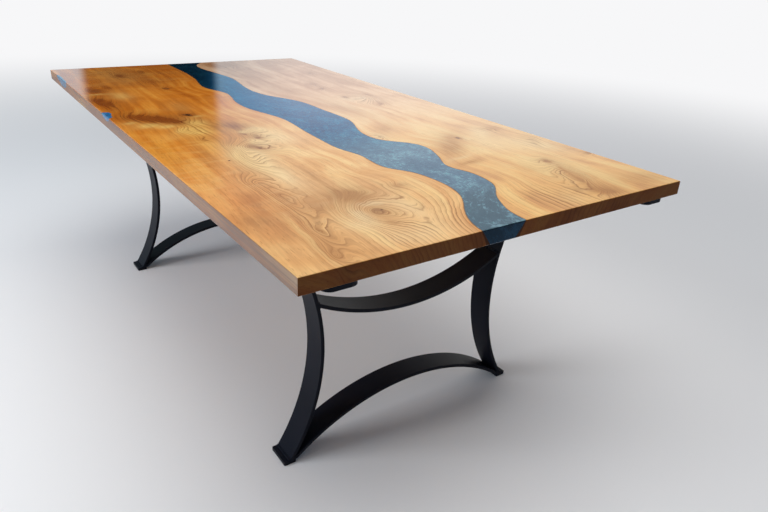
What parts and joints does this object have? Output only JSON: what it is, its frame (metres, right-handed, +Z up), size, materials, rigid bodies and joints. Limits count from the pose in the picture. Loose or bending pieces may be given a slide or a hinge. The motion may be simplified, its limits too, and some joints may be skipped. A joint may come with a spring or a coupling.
{
  "type": "live edge dining table",
  "caption": "Rectangular dining table with timber slabs joined by a winding blue resin river, on a welded base of bowed black flat-bar legs with curved stretchers.",
  "frame": {"origin": "on the floor under the middle of the top", "axes": "+Z up; +Y along the table, from the near end of the picture to the far end; +X across it, to the right"},
  "size_m": [1.08, 2.1, 0.75],
  "materials": {
    "timber": "clear satin lacquer",
    "resin": "polished pearl resin",
    "black_steel": "satin black powder coat",
    "insert_brass": "machined",
    "zinc_steel": "zinc plated"
  },
  "bodies": {
    "root": {"slab_left": "timber", "slab_right": "timber", "resin_river": "resin", "resin_edge_pocket": "resin", "resin_corner_pocket": "resin", "rail_left": "black_steel", "rail_right": "black_steel", "near_side_bar_left": "black_steel", "near_side_bar_right": "black_steel", "near_upper_stretcher": "black_steel", "near_lower_stretcher": "black_steel", "near_foot_plate_left": "black_steel", "near_foot_plate_right": "black_steel", "far_side_bar_left": "black_steel", "far_side_bar_right": "black_steel", "far_upper_stretcher": "black_steel", "far_lower_stretcher": "black_steel", "far_foot_plate_left": "black_steel", "far_foot_plate_right": "black_steel", "threaded_inserts": "insert_brass", "rail_washers": "zinc_steel", "rail_bolts": "zinc_steel"}
  },
  "joints": []
}
